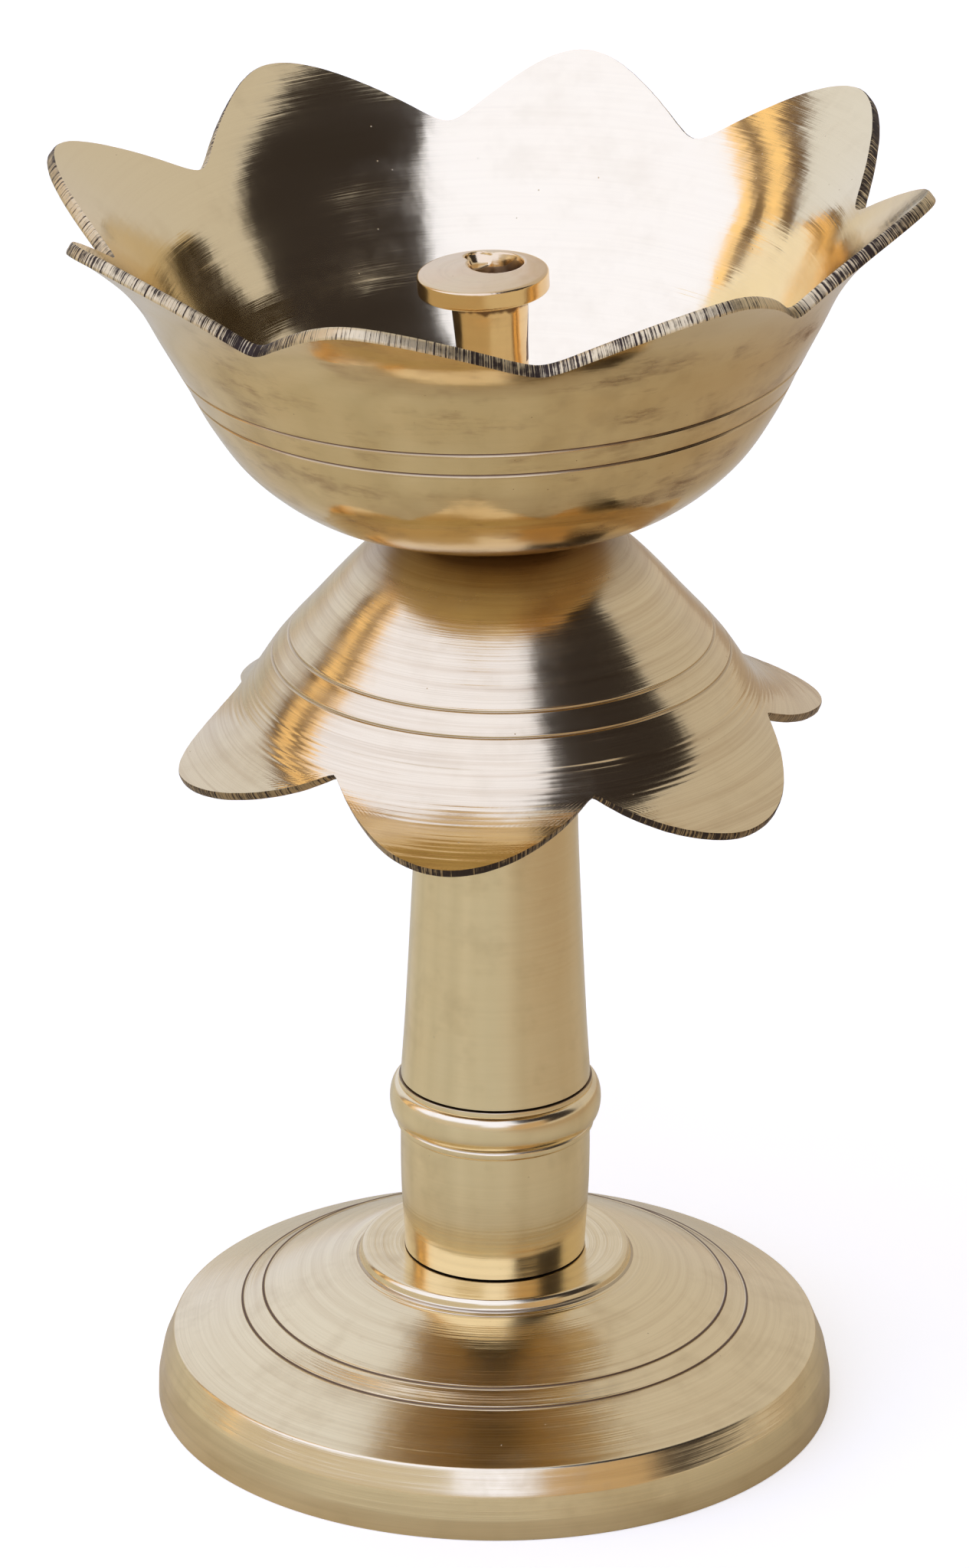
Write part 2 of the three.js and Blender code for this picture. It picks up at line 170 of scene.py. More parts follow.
def ridges(along, seed, pitch, depth):
    """Uneven ridges left by the turning tool, as a height for each place along a path."""
    draw = np.random.default_rng(seed)
    count = int(along.max() / pitch) + 4
    places = np.cumsum(pitch * draw.uniform(0.65, 1.35, count)) - pitch
    heights = depth * draw.uniform(0.1, 1.0, count)
    nearest = np.clip(np.searchsorted(places, along), 1, count - 1)
    share = (along - places[nearest - 1]) / (places[nearest] - places[nearest - 1])
    return -heights[nearest] * 4 * share * (1 - share)


# ---------------------------------------------------------------- meshes

def new_object(name, vertices, faces, material, body, node, attributes=None, sharp=35):
    """Makes a smooth-shaded mesh object that stands for one node of the frame."""
    mesh = bpy.data.meshes.new(name)
    mesh.from_pydata(np.asarray(vertices).tolist(), [], faces)
    mesh.update()
    mesh.shade_smooth()
    mesh.set_sharp_from_angle(angle=math.radians(sharp))
    for key, values in (attributes or {}).items():
        layer = mesh.attributes.new(key, "FLOAT", "POINT")
        layer.data.foreach_set("value", np.asarray(values, np.float32).ravel())
    obj = bpy.data.objects.new(name, mesh)
    bpy.context.scene.collection.objects.link(obj)
    mesh.materials.append(material)
    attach(obj, body)
    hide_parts(node)
    return obj


def grid_faces(columns, rows, flip=False):
    """Faces of a grid of points that closes on itself both ways."""
    column = np.repeat(np.arange(columns), rows)
    row = np.tile(np.arange(rows), columns)
    beside, above = (column + 1) % columns, (row + 1) % rows
    faces = np.stack([column * rows + row, beside * rows + row,
                      beside * rows + above, column * rows + above], 1)
    return (faces[:, ::-1] if flip else faces).tolist()


def signed_area(outline):
    """The area inside an outline, positive when it runs anticlockwise."""
    x, y = outline[:, 0], outline[:, 1]
    return 0.5 * np.sum(x * np.roll(y, -1) - np.roll(x, -1) * y)


def leaned(vertices, lean):
    """Tilts points, in millimetres, about a pivot on the axis and shifts them sideways."""
    about_y, about_x, pivot_height, shift_x, shift_y = lean
    turn = Matrix.Rotation(math.radians(about_y), 3, "Y") @ Matrix.Rotation(
        math.radians(about_x), 3, "X")
    pivot = np.array([0, 0, pivot_height])
    return (vertices - pivot) @ np.array(turn).T + pivot + np.array([shift_x, shift_y, 0])


def turn_outline(outline, steps=ROUND_STEPS):
    """Vertices, faces and attributes of a closed outline turned about the Z axis."""
    if signed_area(outline) < 0:
        outline = outline[::-1]
    angles = np.arange(steps) * TAU / steps
    vertices = np.empty((steps, len(outline), 3))
    vertices[..., 0] = np.cos(angles)[:, None] * outline[:, 0]
    vertices[..., 1] = np.sin(angles)[:, None] * outline[:, 0]
    vertices[..., 2] = outline[:, 1]
    attributes = {
        "along": np.tile(along_of(outline), steps),
        "dirt_and_shade": np.tile(outline[:, 2], steps),
    }
    return vertices.reshape(-1, 3), grid_faces(steps, len(outline)), attributes


def turned(name, outline, material, body, node, steps=ROUND_STEPS, lean=None):
    """Makes the piece of a closed outline turned about the Z axis."""
    vertices, faces, attributes = turn_outline(outline, steps)
    if lean:
        vertices = leaned(vertices, lean)
    return new_object(name, vertices * MM, faces, material, body, node, attributes)


# ---------------------------------------------------------------- materials

class Nodes:
    """Short calls for building the node tree of a material or a world."""

    def __init__(self, owner, shader="Principled BSDF"):
        owner.use_nodes = True
        self.owner = owner
        self.tree = owner.node_tree
        self.shader = self.tree.nodes[shader]

    def node(self, kind, **settings):
        made = self.tree.nodes.new(kind)
        for key, value in settings.items():
            setattr(made, key, value)
        return made

    def put(self, value, socket):
        if isinstance(value, bpy.types.NodeSocket):
            self.tree.links.new(value, socket)
        else:
            socket.default_value = value

    def attribute(self, name):
        return self.node("ShaderNodeAttribute", attribute_name=name).outputs["Fac"]

    def position(self):
        return self.node("ShaderNodeTexCoord").outputs["Object"]

    def math(self, operation, *values, clamp=False):
        made = self.node("ShaderNodeMath", operation=operation, use_clamp=clamp)
        for value, socket in zip(values, made.inputs):
            self.put(value, socket)
        return made.outputs[0]

    def scaled(self, vector, scale):
        made = self.node("ShaderNodeVectorMath", operation="MULTIPLY")
        self.put(vector, made.inputs[0])
        self.put(scale, made.inputs[1])
        return made.outputs[0]

    def combine(self, x, y, z):
        made = self.node("ShaderNodeCombineXYZ")
        for value, socket in zip((x, y, z), made.inputs):
            self.put(value, socket)
        return made.outputs[0]

    def noise(self, vector, scale, detail=2.0, roughness=0.5):
        made = self.node("ShaderNodeTexNoise")
        self.put(vector, made.inputs["Vector"])
        made.inputs["Scale"].default_value = scale
        made.inputs["Detail"].default_value = detail
        made.inputs["Roughness"].default_value = roughness
        return made.outputs["Fac"]

    def spots(self, vector, scale, size):
        """Small round marks, 1 inside and 0 outside."""
        made = self.node("ShaderNodeTexVoronoi")
        self.put(vector, made.inputs["Vector"])
        made.inputs["Scale"].default_value = scale
        return self.ramp(made.outputs["Distance"], [(0.0, 1.0), (size, 0.0)])

    def ramp(self, value, stops):
        """A piecewise linear change of a value from (place, result) stops between 0 and 1."""
        made = self.node("ShaderNodeValToRGB")
        ramp = made.color_ramp
        while len(ramp.elements) < len(stops):
            ramp.elements.new(0.5)
        for element, (place, level) in zip(ramp.elements, stops):
            element.position = place
            element.color = (level, level, level, 1) if np.isscalar(level) else (*level, 1)
        self.put(value, made.inputs["Fac"])
        return made.outputs["Color"]

    def mix(self, share, low, high):
        made = self.node("ShaderNodeMix", data_type="RGBA")
        self.put(share, made.inputs["Factor"])
        for value, socket in ((low, made.inputs[6]), (high, made.inputs[7])):
            self.put(value if isinstance(value, bpy.types.NodeSocket) else (*value, 1), socket)
        return made.outputs[2]

    def bump(self, height, distance, strength=1.0, under=None):
        made = self.node("ShaderNodeBump")
        made.inputs["Strength"].default_value = strength
        made.inputs["Distance"].default_value = distance
        self.put(height, made.inputs["Height"])
        if under is not None:
            self.put(under, made.inputs["Normal"])
        return made.outputs[0]


PALE = (0.90, 0.735, 0.42)
WARM = (0.87, 0.66, 0.34)
COPPERY = (0.84, 0.55, 0.28)
OLIVE = (0.42, 0.30, 0.14)
TARNISH = (0.26, 0.14, 0.06)
WIDE_LINE = (0.50, 0.33, 0.15)
FINE_LINE = (0.42, 0.29, 0.14)
FILED_DARK = (0.050, 0.032, 0.020)
DIRT_AND_SHADE_DARK = (0.085, 0.03, 0.018)


def brass(name, light=PALE, warm=WARM, roughness=0.08, marks=1.0, lined=0.15, mottled=0.3,
          stained=0.2, smudged=0.0, cast=0.0):
    """Polished brass with circular turning marks, uneven tint, stains, specks and pits.

    marks is the depth of the turning marks and lined how dark they are, mottled the strength of
    the patches of redder metal, stained and smudged the amount of dull spots and of dark handling
    marks drawn round the piece, and cast that of the lumps left by the mould.
    """
    n = Nodes(bpy.data.materials.new(name))
    here = n.position()
    along = n.attribute("along")
    dirt_and_shade = n.attribute("dirt_and_shade")

    # Turning marks: noise that changes fast along the outline and slowly round the piece.
    split = n.node("ShaderNodeSeparateXYZ")
    n.put(n.scaled(here, (24.0, 24.0, 24.0)), split.inputs[0])

    def turning(per_mm, detail, sharpness):
        stretched = n.combine(split.outputs[0], split.outputs[1],
                              n.math("MULTIPLY", along, per_mm))
        return n.noise(stretched, 1.0, detail=detail, roughness=sharpness)

    fine = turning(6.0, 2.0, 0.6)
    wide = turning(1.1, 3.0, 0.62)
    broad = turning(0.22, 2.0, 0.5)

    cloud = n.noise(here, 55.0, detail=4.0, roughness=0.62)
    blotch = n.noise(here, 210.0, detail=3.0, roughness=0.6)
    stain = n.ramp(n.math("ADD", n.math("MULTIPLY", cloud, 0.6), n.math("MULTIPLY", blotch, 0.4)),
                   [(0.52, 0.0), (0.66, 1.0)])
    smudge = n.math("MULTIPLY", n.ramp(n.noise(n.scaled(here, (60.0, 60.0, 260.0)), 1.0, detail=5.0,
                                               roughness=0.7), [(0.50, 0.0), (0.66, 1.0)]),
                    n.ramp(cloud, [(0.45, 0.0), (0.62, 1.0)]))
    sparse = n.ramp(n.noise(here, 90.0, detail=1.0), [(0.54, 0.0), (0.60, 1.0)])
    speck = n.math("MULTIPLY", n.spots(here, 520.0, 0.05), sparse)

    tint = n.mix(n.math("MULTIPLY", n.ramp(cloud, [(0.35, 0.0), (0.70, 1.0)]), mottled), light,
                 warm)
    tint = n.mix(n.math("MULTIPLY", n.ramp(wide, [(0.45, 0.0), (0.70, 1.0)]), lined), tint,
                 WIDE_LINE)
    tint = n.mix(n.math("MULTIPLY", n.ramp(fine, [(0.50, 0.0), (0.75, 1.0)]), 0.7 * lined), tint,
                 FINE_LINE)
    tint = n.mix(n.math("MULTIPLY", stain, stained), tint, OLIVE)
    tint = n.mix(n.math("MULTIPLY", smudge, smudged), tint, TARNISH)
    tint = n.mix(n.math("MULTIPLY", speck, 0.8), tint, TARNISH)
    # Darkened where the outline rows say so: dark joints and dirt in grooves, and painted shade in
    # creases and under overhanging parts.
    tint = n.mix(n.math("MULTIPLY", dirt_and_shade, 0.92), tint, DIRT_AND_SHADE_DARK)
    n.put(tint, n.shader.inputs["Base Color"])

    dull = n.math("ADD", n.math("MULTIPLY", fine, 0.05),
                  n.math("MULTIPLY", stain, 0.05 + 0.1 * stained))
    dull = n.math("ADD", dull, n.math("MULTIPLY", n.ramp(broad, [(0.4, 0.0), (0.7, 1.0)]), 0.04))
    dull = n.math("ADD", dull, n.math("MULTIPLY", smudge, 0.3 * smudged))
    dull = n.math("ADD", dull, n.math("MULTIPLY", dirt_and_shade, 0.3))
    n.put(n.math("ADD", dull, roughness), n.shader.inputs["Roughness"])
    n.shader.inputs["Metallic"].default_value = 1.0
    n.shader.inputs["Anisotropic"].default_value = 0.5
    n.put(n.node("ShaderNodeTangent", direction_type="RADIAL", axis="Z").outputs[0],
          n.shader.inputs["Tangent"])

    normal = n.bump(fine, 0.000003 * marks)
    normal = n.bump(wide, 0.000022 * marks, under=normal)
    normal = n.bump(n.math("MULTIPLY", speck, -1.0), 0.00006, under=normal)
    normal = n.bump(n.math("ADD", cloud, n.math("MULTIPLY", blotch, 0.05)), 0.00008 + 0.0006 * cast,
                    under=normal)
    n.put(normal, n.shader.inputs["Normal"])
    return n.owner


def filed_edge(name, light, share_dark):
    """The sawn and filed edge of a petal: light and dark scratches straight across the sheet."""
    n = Nodes(bpy.data.materials.new(name))
    here = n.position()
    run = n.attribute("rim")
    scratch = n.noise(n.combine(n.math("MULTIPLY", run, 2.6), 0.0, 0.0), 1.0, detail=3.0,
                      roughness=0.75)
    patch = n.noise(here, 45.0, detail=3.0)
    crumb = n.noise(here, 900.0, detail=3.0)
    level = n.math("ADD", n.math("MULTIPLY", patch, 0.55), n.math("MULTIPLY", crumb, 0.22))
    dark = n.ramp(n.math("ADD", scratch, n.math("ADD", level, share_dark - 0.385)),
                  [(0.50, 0.0), (0.57, 1.0)])
    n.put(n.mix(dark, light, FILED_DARK), n.shader.inputs["Base Color"])
    n.put(n.math("ADD", n.math("MULTIPLY", dark, 0.2), 0.36), n.shader.inputs["Roughness"])
    n.shader.inputs["Metallic"].default_value = 0.8
    n.put(n.bump(n.math("ADD", scratch, n.math("MULTIPLY", crumb, 0.3)), 0.00012),
          n.shader.inputs["Normal"])
    return n.owner


def plated_steel(name):
    n = Nodes(bpy.data.materials.new(name))
    here = n.position()
    cloud = n.noise(here, 240.0, detail=4.0, roughness=0.6)
    n.put(n.mix(n.ramp(cloud, [(0.35, 0.0), (0.7, 1.0)]), (0.62, 0.63, 0.64), (0.40, 0.38, 0.36)),
          n.shader.inputs["Base Color"])
    n.put(n.math("ADD", n.math("MULTIPLY", cloud, 0.3), 0.24), n.shader.inputs["Roughness"])
    n.shader.inputs["Metallic"].default_value = 1.0
    n.put(n.bump(n.noise(here, 900.0, detail=3.0), 0.00002), n.shader.inputs["Normal"])
    return n.owner


def seal_rubber(name):
    n = Nodes(bpy.data.materials.new(name))
    here = n.position()
    grain = n.noise(here, 1500.0, detail=4.0)
    n.put(n.mix(grain, (0.060, 0.016, 0.010), (0.105, 0.034, 0.022)),
          n.shader.inputs["Base Color"])
    n.put(n.math("ADD", n.math("MULTIPLY", grain, 0.2), 0.6), n.shader.inputs["Roughness"])
    n.put(n.bump(grain, 0.00003), n.shader.inputs["Normal"])
    return n.owner


base_brass = brass("base_brass", light=(0.90, 0.73, 0.41), roughness=0.14, marks=1.6, lined=0.2,
                   mottled=0.25, stained=0.18)
stem_brass = brass("stem_brass", roughness=0.14, marks=0.5, lined=0.05, mottled=0.5, stained=0.25)
skirt_brass = brass("skirt_brass", light=(0.80, 0.63, 0.345), roughness=0.11, marks=1.2, lined=0.36,
                    mottled=0.3, stained=0.12)
skirt_inner_brass = brass("skirt_inner_brass", light=(0.94, 0.83, 0.65), warm=(0.80, 0.68, 0.50),
                          roughness=0.26, marks=1.5, lined=0.3, mottled=0.9, stained=0.5)
bowl_inner_brass = brass("bowl_inner_brass", roughness=0.07, marks=1.0, lined=0.035,
                         mottled=0.12, stained=0.08)
bowl_outer_brass = brass("bowl_outer_brass", light=(0.77, 0.575, 0.28), warm=(0.68, 0.47, 0.20),
                         roughness=0.085, marks=0.3, lined=0.05, mottled=0.9, stained=0.35,
                         smudged=0.8)
cast_brass = brass("cast_brass", light=(0.81, 0.61, 0.31), warm=COPPERY, roughness=0.13,
                   marks=0.5, lined=0.1, mottled=0.8, stained=0.2, cast=0.10)
bowl_edge_brass = filed_edge("bowl_edge_brass", (0.78, 0.60, 0.30), 0.035)
skirt_edge_brass = filed_edge("skirt_edge_brass", (0.40, 0.27, 0.12), 0.05)
steel = plated_steel("plated_steel")
rubber = seal_rubber("seal_rubber")


# ---------------------------------------------------------------- base

def with_relief(points, seed, pitch, depth, side):
    """A path with the ridges of the turning tool on its outer side."""
    along = along_of(points)
    out = points.copy()
    out[:, :2] += side * normals_of(points, along) * ridges(along, seed, pitch, depth)[:, None]
    return out


def make_base():
    wall = 3.0
    rim = rounded([(foot_radius - wall, 0.25), (foot_radius - wall + 0.3, 0), (foot_radius, 0),
                   (46.75, 2.8), (46.1, 6.2), (44.65, 9.8), (43.4, 10.3)], 0.25)
    cone = spline([(43.4, 10.3), (39.4, 12.05), (35.0, 14.1), (32.1, 15.75), (26.0, 18.6),
                   (21.8, 20.15), (20.4, 20.5)], 0.09)
    cone = with_relief(cone, 3, 0.42, 0.012, 1)
    for radius in (35.0, 32.1):
        cone = cut_groove(cone, radius, 1, depth=0.2, half=0.24, stain=0.95)
    boss = rounded([(20.4, 20.5), (19.9, 20.5), (19.75, 20.68), (19.3, 20.7), (19.1, 20.95),
                    (18.85, 21.1), (18.65, 21.9), (18.3, boss_top), (14.0, boss_top),
                    (13.0, boss_top), (12.3, boss_top - 0.05), (BORE + 0.3, boss_top - 0.05),
                    (BORE, boss_top - 0.3), (BORE, 15.0)], 0.25)
    # The top of the boss under the stem is darkened as a dark joint, and the small step on its side
    # gets a ring of painted shade in its corner.
    boss[:, 2] = np.where(boss[:, 0] < 12.5, 0.9, np.where(
        (boss[:, 0] > 18.9) & (boss[:, 0] < 19.2), 0.4, 0))
    under = rounded([(BORE, 15.0), (13.0, 15.0), (14.0, 17.4), (26.0, 15.6), (42.3, 6.8),
                     (43.1, 4.2), (foot_radius - wall, 0.25)], 1.2)
    # The underside is a little darker all over.
    under[:, 2] = 0.25
    outline = np.vstack([fill(rim, 0.5)[:-1], cone[:-1], fill(boss, 0.4)[:-1],
                         fill(under, 0.8)[:-1]])
    turned("base_turned", outline, base_brass, "stand", "base", steps=320)


# ---------------------------------------------------------------- stem

def make_lower_stem():
    radius, bead_radius = 13.05, 14.55
    bead_foot, bead_height = 42.4, 5.2
    foot, top_face = lower_foot - 0.2, lower_top + 0.2
    flank = spline([(12.45, foot + 0.12), (12.62, 26.0), (12.92, 31.0), (radius, 36.0),
                    (radius, 41.0)], 0.15)
    flank = with_relief(flank, 5, 0.5, 0.006, -1)
    step = rounded([(radius, 41.0), (radius + 0.15, 41.25), (radius + 0.5, 41.3),
                    (radius + 0.55, 42.0), (radius + 0.3, bead_foot)], 0.12)
    turn = np.linspace(0, math.pi, 28)
    lip = radius + 0.35
    bead = np.stack([lip + (bead_radius - lip) * np.sin(turn) ** 0.9,
                     bead_foot + 0.5 * bead_height * (1 - np.cos(turn)),
                     0 * turn], 1)
    socket = SOCKET_RADIUS
    top = rounded([(lip, bead_foot + bead_height + 0.1), (lip - 0.1, top_face),
                   (socket + 0.3, top_face), (socket, top_face - 0.3),
                   (socket, lower_top - 4.9), (BORE + 0.2, lower_top - 4.9),
                   (BORE, lower_top - 5.1), (BORE, foot + 0.2), (BORE + 0.2, foot),
                   (12.33, foot), (12.45, foot + 0.12)], 0.1)
    # The top face and the foot, where the pieces meet, are darkened as dark joints; the crease just
    # under the bead is darkened as painted shade.
    top[:, 2] = np.where(top[:, 0] < 13.3, 0.8, 0)
    step[:, 2] = np.where(step[:, 1] > 42.2, 0.7, 0)
    outline = np.vstack([flank[:-1], step, bead, fill(top, 1.0)[:-1]])
    turned("lower_stem_turned", outline, stem_brass, "lower_stem", "lower_stem")


def make_upper_stem():
    foot = upper_foot + 4.5
    column = spline([(13.05, foot + 0.15), (12.5, 57.0), (11.8, 71.0), (11.2, 85.0),
                     (10.9, 100.0), (10.6, 124.0)], 0.22)
    column = with_relief(column, 7, 0.7, 0.006, -1)
    top = rounded([(10.6, 124.0), (8.6, 127.5), (8.6, upper_top), (BORE + 0.2, upper_top),
                   (BORE, upper_top - 0.2), (BORE, upper_foot + 0.2), (BORE + 0.2, upper_foot),
                   (SPIGOT_RADIUS - 0.3, upper_foot), (SPIGOT_RADIUS, upper_foot + 0.3),
                   (SPIGOT_RADIUS, foot), (12.8, foot), (13.05, foot + 0.15)], 0.25)
    top[:, 2] = np.where(top[:, 1] < foot + 0.1, 0.7, 0)
    outline = np.vstack([column[:-1], fill(top, 1.5)[:-1]])
    turned("upper_stem_turned", outline, stem_brass, "upper_stem", "upper_stem")


# ---------------------------------------------------------------- petalled sheets

def petal_edge(share, notch_roundness, tip_roundness):
    """How far out a petal's edge is, from its notch (0) to its tip (1)."""
    def ease(x, roundness):
        return (np.hypot(x, roundness) - roundness) / (np.hypot(1, roundness) - roundness)

    return 1 - ease(1 - ease(share, notch_roundness), tip_roundness)


def rim_stations(tips, notches, per_side, notch_roundness, tip_roundness):
    """Directions round a petalled rim, with the radii of the notch and tip on either side and how
    far out between them the edge is."""
    corners = sorted([(*tip, 1.0) for tip in tips] + [(*notch, 0.0) for notch in notches])
    angles, lows, highs, edges = [], [], [], []
    step = np.arange(per_side) / per_side
    for (angle, radius, level), (beyond, next_radius, next_level) in zip(
            corners, corners[1:] + corners[:1]):
        angles.append(np.radians(angle + (beyond - angle) % 360 * step))
        lows.append(np.full(per_side, min(radius, next_radius)))
        highs.append(np.full(per_side, max(radius, next_radius)))
        share = level + (next_level - level) * step
        edges.append(petal_edge(share, notch_roundness, tip_roundness))
    return [np.concatenate(values) for values in (angles, lows, highs, edges)]


RAGGEDNESS = 0.12
# What the count along the outline starts from on the inside, so that its marks are others.
INSIDE_START = 200


def petal_shell(name, shape, outside_brass, inside_brass, edge_brass, body, node):
    """A spun sheet whose rim is cut into petals, with a rounded, filed edge."""
    side = shape["side"]
    outer = spline(shape["controls"], 0.1)
    along = along_of(outer)
    smooth = outer.copy()
    if "relief" in shape:
        outer[:, :2] += (side * normals_of(outer, along)
                         * -shape["relief"](along, outer[:, 0])[:, None])
    # Painted shade round the seat of the sheet: full inside the second radius of the crown setting,
    # fading out by the third.
    stain, stained, shade_end_radius = shape["crown_shade"]
    outer[:, 2] = stain * np.clip((shade_end_radius - outer[:, 0]) / (shade_end_radius - stained), 0, 1)
    for radius in shape["grooves"]:
        outer = cut_groove(outer, radius, -side, *shape["groove_cut"])
    outer_along = along_of(outer)
    smooth_along = along_of(smooth)

    def reach(radius):
        return np.interp(radius, smooth[:, 0], smooth_along)

    outermost = reach(max(radius for _, radius in shape["tips"]))
    normals = normals_of(smooth, smooth_along)
    wall = np.interp(smooth_along, [0, outermost], [shape["seat_wall"], shape["rim_wall"]])
    inner = smooth.copy()
    inner[:, :2] += side * normals * wall[:, None]
    if "inner_relief" in shape:
        inner[:, :2] += side * normals * shape["inner_relief"](smooth_along)[:, None]

    angles, lows, highs, edges = rim_stations(shape["tips"], shape["notches"], shape["per_side"],
                                              shape["notch_roundness"], shape["tip_roundness"])
    draw = np.random.default_rng(shape["seed"])
    ragged = np.convolve(draw.normal(0, 1, len(angles) + 8), np.ones(9) / 9, "valid")
    rim = reach(lows) + (reach(highs) - reach(lows)) * edges + RAGGEDNESS * ragged

    body_end = reach(min(radius for _, radius in shape["notches"])) - 1.0
    body_outer = outer_along[outer_along < body_end * outer_along[-1] / smooth_along[-1]]
    body_outer = body_outer[::shape["thin_out"]]
    body_inner = np.linspace(0, body_end, shape["inner_rows"])
    petal_share = np.linspace(0, 1, shape["petal_rows"])
    stretch = outer_along[-1] / smooth_along[-1]
    round_over = shape["round_over"]

    def sample(curve, curve_along, at):
        return np.stack([np.interp(at, curve_along, curve[:, k]) for k in range(3)], -1)

    columns = []
    edge_rows = 6
    for far in rim:
        low = body_end + (far - round_over - body_end) * petal_share
        outside = sample(outer, outer_along, np.r_[body_outer, low * stretch])
        inside = sample(inner, smooth_along, np.r_[body_inner, low][::-1])
        a, b = outside[-1], inside[0]
        out_to = sample(smooth, smooth_along, far) - sample(smooth, smooth_along, far - round_over)
        turn = np.linspace(0, 1, edge_rows + 2)[1:-1, None]
        bulge = np.clip(4.5 * turn * (1 - turn) * 1.6, 0, 1) * out_to
        edge = a + (b - a) * turn + bulge
        edge[:, 2] = 0
        columns.append(np.vstack([outside, edge, inside]))
    grid = np.array(columns)
    seat_outer = np.array([BORE, grid[0, 0, 1], 0.6])
    seat_inner = np.array([BORE, grid[0, -1, 1], 0.6])
    count = len(columns)
    grid = np.concatenate([np.tile(seat_outer, (count, 1, 1)), grid,
                           np.tile(seat_inner, (count, 1, 1))], 1)
    rows = grid.shape[1]
    vertices = np.stack([grid[..., 0] * np.cos(angles)[:, None],
                         grid[..., 0] * np.sin(angles)[:, None], grid[..., 1]], -1)
    vertices = leaned(vertices.reshape(-1, 3), shape["lean"])
    run = grid[..., :2]
    along_rows = np.concatenate([np.zeros((count, 1)), np.cumsum(
        np.hypot(*np.moveaxis(np.diff(run, axis=1), -1, 0)), axis=1)], 1)
    edge_start = 1 + len(body_outer) + len(petal_share)
    along_rows = np.where(np.arange(rows) > edge_start + edge_rows // 2,
                          along_rows[:, -1:] - along_rows + INSIDE_START, along_rows)
    rim_points = vertices.reshape(count, rows, 3)[:, edge_start + edge_rows // 2]
    rim_run = np.r_[0, np.cumsum(np.linalg.norm(np.diff(rim_points, axis=0), axis=1))]
    attributes = {
        "along": along_rows,
        "dirt_and_shade": grid[..., 2],
        "rim": np.repeat(rim_run[:, None], rows, 1),
    }
    faces = grid_faces(count, rows, flip=side < 0)
    obj = new_object(name, vertices * MM, faces, outside_brass, body, node,
                     attributes, sharp=40)
    obj.data.materials.append(edge_brass)
    obj.data.materials.append(inside_brass)
    row_of = np.tile(np.arange(rows), count)
    finish = np.select([row_of < edge_start - 1, row_of < edge_start + edge_rows], [0, 1], 2)
    obj.data.polygons.foreach_set("material_index", finish.astype(np.int32))
    return obj


def make_skirt():
    def relief(along, radius):
        return ridges(along, 11, 0.35, 0.004) + ridges(along, 12, 0.7, 0.042) * (radius > 31.9)

    def inner_relief(along):
        return ridges(along, 13, 0.6, 0.015)

    petal_shell("petal_skirt_spun", {
        "controls": [(9.5, skirt_top), (12.5, 130.2), (16.2, 127.7), (20.1, 124.2), (26.2, 117.3),
                     (31.1, 111.5), (36.0, 104.4), (40.5, 100.9), (45.8, 98.3), (48.0, 97.3)],
        "side": -1, "seat_wall": 1.85, "rim_wall": 1.3,
        "tips": [(24, 46.8), (81, 46.0), (134, 42.0), (197, 45.3), (260, 45.6), (317, 45.7)],
        "notches": [(51, 36.2), (110, 36.0), (171, 36.0), (231, 35.7), (290, 36.0), (352, 36.4)],
        "notch_roundness": 0.02, "tip_roundness": 0.4,
        # The crown is painted darker towards the middle, as shade under the bowl.
        "grooves": (28.8, 31.1), "groove_cut": (0.12, 0.22, 0.3), "crown_shade": (0.75, 14, 21),
        "relief": relief, "inner_relief": inner_relief,
        "per_side": 30, "inner_rows": 60, "petal_rows": 90, "thin_out": 1, "round_over": 0.12,
        "lean": SKIRT_LEAN, "seed": 21,
    }, skirt_brass, skirt_inner_brass, skirt_edge_brass, "skirt", "petal_skirt")


def make_bowl():
    petal_shell("oil_bowl_spun", {
        "controls": [(9.5, bowl_seat), (15.0, 131.8), (21.0, 133.1), (27.7, 136.0), (34.3, 141.5),
                     (38.5, 147.6), (41.7, 153.9), (44.9, 160.0), (47.8, 165.6), (51.2, 170.2),
                     (55.4, 174.4), (60.5, 178.7), (62.5, 180.1)],
        "side": 1, "seat_wall": 2.2, "rim_wall": 1.7,
        "tips": [(31.5, 60.2), (76.5, 58.2), (121, 59.3), (166.5, 60.6),
                 (210, 62.3), (252, 57.6), (304, 57.6), (345, 61.0)],
        "notches": [(7.5, 51.0), (55, 50.2), (96.5, 50.6), (142.5, 50.8),
                    (188.5, 51.6), (232, 50.2), (278, 50.0), (325, 50.0)],
        "notch_roundness": 0.12, "tip_roundness": 0.3,
        # The bottom is painted darker towards the middle, as shade where it sits on the skirt.
        "grooves": (40.7, 42.5), "groove_cut": (0.34, 0.26, 1.0), "crown_shade": (0.3, 10, 14),
        "per_side": 32, "inner_rows": 160, "petal_rows": 60, "thin_out": 2, "round_over": 0.15,
        "lean": BOWL_LEAN, "seed": 22,
    }, bowl_outer_brass, bowl_inner_brass, bowl_edge_brass, "bowl", "oil_bowl")


# ---------------------------------------------------------------- wick holder

